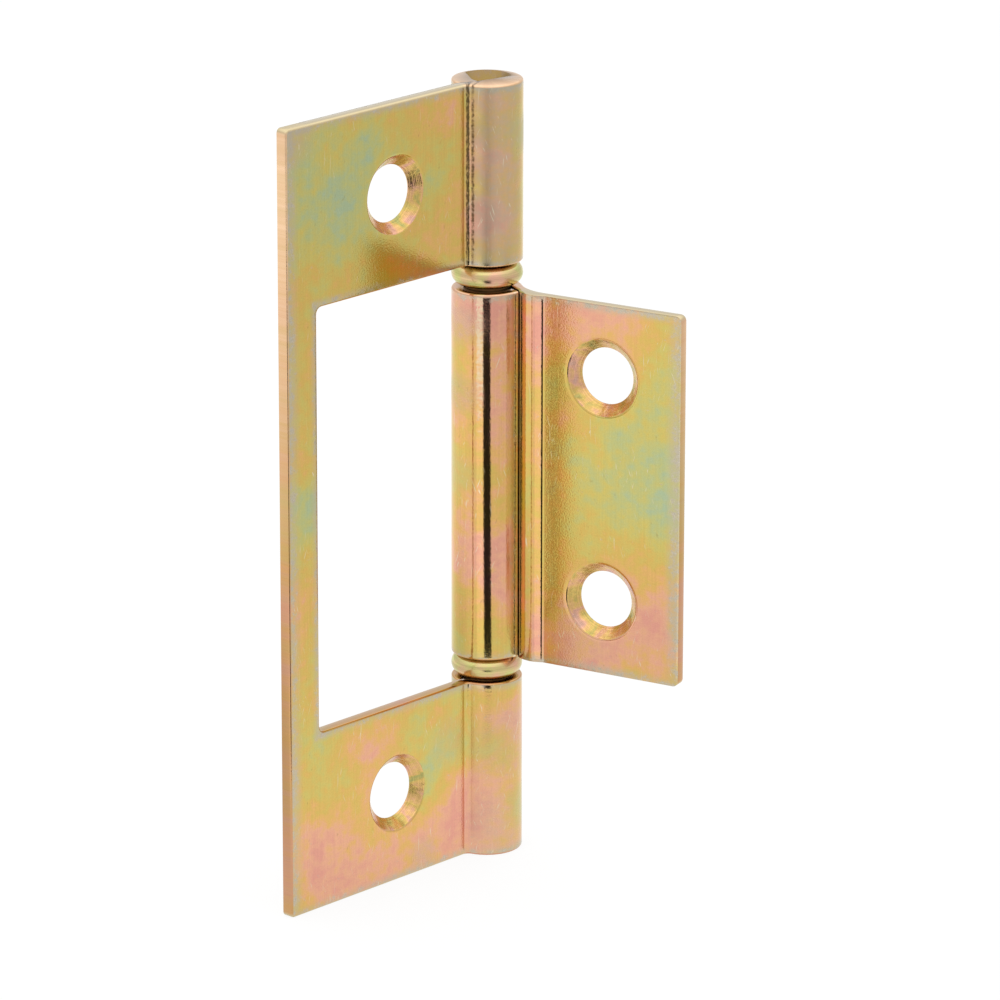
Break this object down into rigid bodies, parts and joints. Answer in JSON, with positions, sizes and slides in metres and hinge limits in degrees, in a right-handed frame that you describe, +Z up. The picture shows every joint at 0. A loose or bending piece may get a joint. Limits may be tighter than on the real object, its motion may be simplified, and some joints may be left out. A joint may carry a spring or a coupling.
{
  "type": "bifold door hinge",
  "caption": "Non-mortise bifold door hinge of yellow zinc plated steel: a window-frame leaf and an inner leaf that nests in it, on a staked pin with bearing washers.",
  "frame": {"origin": "midway between the outer leaf's two screw holes, on that leaf's seating face", "axes": "+Z up along the pin, +Y out of the outer leaf's seating face, -X away from the pin"},
  "size_m": [0.0327, 0.0241, 0.0762],
  "materials": {
    "leaf_plating": "rolled sheet steel, yellow zinc plated, glossy with iridescent patches and fine scratches",
    "washer_plating": "turned steel, yellow zinc plated, bright",
    "pin_plating": "drawn steel, yellow zinc plated"
  },
  "bodies": {
    "outer": {"outer_leaf": "leaf_plating", "hinge_pin": "pin_plating"},
    "inner": {"inner_leaf": "leaf_plating"},
    "upper_bearing": {"upper_washer": "washer_plating"},
    "lower_bearing": {"lower_washer": "washer_plating"}
  },
  "joints": [
    {"name": "leaf_swing", "type": "hinge", "parent": "outer", "child": "inner", "pos_m": [0.013, -0.00057, 0], "axis": [0, 0, 1], "continuous": true},
    {"name": "upper_washer_spin", "type": "hinge", "parent": "outer", "child": "upper_bearing", "pos_m": [0.013, -0.00057, 0], "axis": [0, 0, 1], "continuous": true},
    {"name": "lower_washer_spin", "type": "hinge", "parent": "outer", "child": "lower_bearing", "pos_m": [0.013, -0.00057, 0], "axis": [0, 0, 1], "continuous": true}
  ]
}
